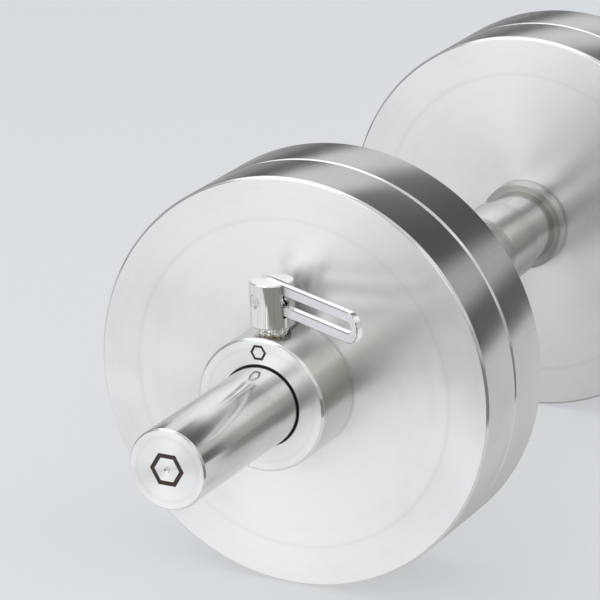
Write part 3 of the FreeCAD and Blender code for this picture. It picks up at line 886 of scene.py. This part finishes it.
def marking(name, side, x_face, mark, lean, body):
    """A plain six-sided frame of brown oxide, filling its shallow cut in an end face."""
    outward = SIDES[side]
    shape = bmesh.new()
    loops = []
    for x in (x_face * outward + outward * MARK_PROUD, x_face * outward - outward * MARK_DEPTH):
        for radius in (mark["radius"], mark["radius"] - mark["width"]):
            loop = []
            for corner in range(MARK_SIDES):
                angle = 2 * math.pi * corner / MARK_SIDES
                y = radius * math.cos(angle)
                z = radius * math.sin(angle) + mark["height"]
                spot = Matrix.Rotation(outward * lean, 3, "X") @ Vector((x, y, z))
                loop.append(shape.verts.new(spot))
            loops.append(loop)
    front_out, front_in, back_out, back_in = loops
    strips = ((front_out, front_in), (front_in, back_in), (back_in, back_out), (back_out, front_out))
    for first, second in strips:
        for corner in range(MARK_SIDES):
            after = (corner + 1) % MARK_SIDES
            shape.faces.new((first[corner], first[after], second[after], second[corner]))
    bmesh.ops.recalc_face_normals(shape, faces=shape.faces)
    piece = new_object(name, shape)
    piece.data.materials.append(finish["mark"])
    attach(piece, body)


for side in SIDES:
    bar_end = span("bar")[1]
    collar_low, collar_high, _ = span(side + "_collar_body")
    collar_end = max(abs(collar_low), abs(collar_high))
    marking(side + "_bar_marking", side, bar_end, END_MARK, 0.0, "bar")
    marking(side + "_collar_marking", side, collar_end, COLLAR_MARK, CLAMP_LEAN, side + "_collar")


# ---------------------------------------------------------------- pieces that keep their shape

KEPT = {
    "collar_liner": "liner",
    "clamp_stud": "clamp",
    "clamp_lock_ring": "clamp",
    "thrust_washer": "bronze",
    "hub_snap_ring": "spring",
    "cam_plunger": "clamp",
    "pressure_pad": "bronze",
    "return_spring": "spring",
}
EASED = {"clamp_lock_ring": 0.06 * MM, "thrust_washer": 0.04 * MM, "collar_liner": 0.05 * MM}


def dress(node, kind):
    """Give a node its finish and, where its edges show, ease them."""
    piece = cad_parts[node]
    piece.data.materials.clear()
    piece.data.materials.append(finish[KEPT[kind]])
    if kind in EASED:
        ease_edges(piece, EASED[kind])


for kind in KEPT:
    for side in SIDES:
        dress(side + "_" + kind, kind)


# ---------------------------------------------------------------- studio

FLOOR_HALF_SIZE = 12.0
LOW_AIR = (0.62, 0.64, 0.66, 1.0)
MID_AIR = (0.56, 0.57, 0.58, 1.0)
CEILING = (0.95, 0.96, 0.98, 1.0)
FRONT_GLOW = (1.25, 1.26, 1.28, 1.0)
BACKDROP = (0.72, 0.75, 0.78, 1.0)


def floor():
    """A wide pale table under the lowest point of the discs."""
    half = FLOOR_HALF_SIZE
    data = bpy.data.meshes.new("floor")
    level = cad_low.z
    corners = [(-half, -half, level), (half, -half, level), (half, half, level), (-half, half, level)]
    data.from_pydata(corners, [], [(0, 1, 2, 3)])
    piece = bpy.data.objects.new("floor", data)
    bpy.context.scene.collection.objects.link(piece)
    data.materials.append(floor_finish())


def lobe(nodes, direction, centre, inner_deg, outer_deg):
    """1 inside a cone about centre, falling to 0 outside it."""
    toward = nodes.vector("DOT_PRODUCT", direction, tuple(Vector(centre).normalized()))
    return nodes.remap(toward, math.cos(math.radians(outer_deg)), math.cos(math.radians(inner_deg)))


def turn_about_x(nodes, split):
    """A direction's angle round the bar: from the right-hand horizon, over the top, to the left."""
    right = nodes.math("MULTIPLY", split.outputs["Y"], -1.0)
    return nodes.math("ARCTAN2", split.outputs["Z"], right)


def room_bands(nodes, split, horizon, bands):
    """What turned steel mirrors beyond one end of the bar, by angle round its axis."""
    turn = turn_about_x(nodes, split)
    colour = horizon
    for start_deg, end_deg, tint in bands:
        step = nodes.remap(turn, math.radians(start_deg), math.radians(end_deg))
        colour = nodes.mix(step, colour, tint)
    return colour


# Bands as (start in degrees, end in degrees, tint): each tint fades in between its two angles.
# Beyond the far end: a dark skirting, a pale wall, a dark opening, a dim wall, a bright window,
# a dark gap and a grey corner
FAR_HORIZON = (0.15, 0.15, 0.145, 1.0)
FAR_ROOM = [
    (15.0, 27.0, (0.63, 0.635, 0.62, 1.0)),
    (37.0, 50.0, (0.125, 0.127, 0.125, 1.0)),
    (66.0, 98.0, (0.22, 0.225, 0.22, 1.0)),
    (103.0, 113.0, (0.98, 0.98, 0.97, 1.0)),
    (143.0, 150.0, (0.09, 0.095, 0.10, 1.0)),
    (166.0, 176.0, (0.50, 0.51, 0.51, 1.0)),
]
# Before the near end: a grey wall, the lit wall behind the camera, a dark gap, bright windows
NEAR_HORIZON = (0.66, 0.65, 0.62, 1.0)
NEAR_ROOM = [
    (24.0, 34.0, (1.50, 1.49, 1.45, 1.0)),
    (54.0, 63.0, (0.26, 0.26, 0.255, 1.0)),
    (80.0, 92.0, (1.75, 1.76, 1.79, 1.0)),
]


def surroundings():
    """A pale room with a bright ceiling, a glow in front and bands beyond each end of the bar.
    The camera itself sees a plain backdrop behind the table."""
    world = bpy.data.worlds.new("studio")
    bpy.context.scene.world = world
    world.use_nodes = True
    nodes = Nodes(world.node_tree)
    background = next(node for node in world.node_tree.nodes if node.type == "BACKGROUND")
    direction = nodes.add("ShaderNodeTexCoord").outputs["Generated"]
    split = nodes.add("ShaderNodeSeparateXYZ")
    nodes.link(direction, split.inputs[0])
    height = split.outputs["Z"]
    colour = nodes.mix(nodes.remap(height, 0.02, 0.30), LOW_AIR, MID_AIR)
    colour = nodes.mix(nodes.remap(height, 0.45, 0.80), colour, CEILING)
    front = lobe(nodes, direction, (-0.85, 0.42, 0.12), 12.0, 48.0)
    colour = nodes.mix(front, colour, FRONT_GLOW)
    x = split.outputs["X"]
    bands = room_bands(nodes, split, NEAR_HORIZON, NEAR_ROOM)
    ahead = nodes.remap(x, -0.62, -0.75)
    above = nodes.remap(turn_about_x(nodes, split), 2.9, 2.6)
    colour = nodes.mix(nodes.math("MULTIPLY", ahead, above), colour, bands)
    bands = room_bands(nodes, split, FAR_HORIZON, FAR_ROOM)
    colour = nodes.mix(nodes.remap(x, 0.45, 0.62), colour, bands)
    paths = nodes.add("ShaderNodeLightPath")
    shown = nodes.mix(paths.outputs["Is Camera Ray"], colour, BACKDROP)
    nodes.link(shown, background.inputs["Color"])
    background.inputs["Strength"].default_value = 1.0


def soft_box(name, place, size, power, tint):
    """A large square light that faces the middle of the bar."""
    data = bpy.data.lights.new(name, "AREA")
    data.shape = "SQUARE"
    data.size = size
    data.energy = power
    data.color = tint
    lamp = bpy.data.objects.new(name, data)
    lamp.location = place
    lamp.rotation_euler = (-Vector(place)).to_track_quat("-Z", "Y").to_euler()
    lamp.visible_camera = False
    bpy.context.scene.collection.objects.link(lamp)


def camera():
    """A long lens at the photographer's place, looking where the photograph looks."""
    data = bpy.data.cameras.new("camera")
    data.lens = CAMERA_LENS_MM
    data.sensor_width = SENSOR_MM
    viewer = bpy.data.objects.new("camera", data)
    viewer.location = CAMERA_PLACE
    heading = math.radians(CAMERA_HEADING_DEG)
    pitch = math.radians(CAMERA_PITCH_DEG)
    level = math.cos(pitch)
    ahead = Vector((math.cos(heading) * level, math.sin(heading) * level, -math.sin(pitch)))
    viewer.rotation_euler = ahead.to_track_quat("-Z", "Y").to_euler()
    bpy.context.scene.collection.objects.link(viewer)
    bpy.context.scene.camera = viewer


floor()
surroundings()
soft_box("key_light", (-0.6, 0.9, 2.2), 1.8, 9.0, (1.0, 1.0, 1.0))
soft_box("fill_light", (-1.6, -1.8, 1.4), 1.6, 3.0, (1.0, 0.98, 0.95))
camera()
bpy.context.scene.view_settings.view_transform = "Standard"
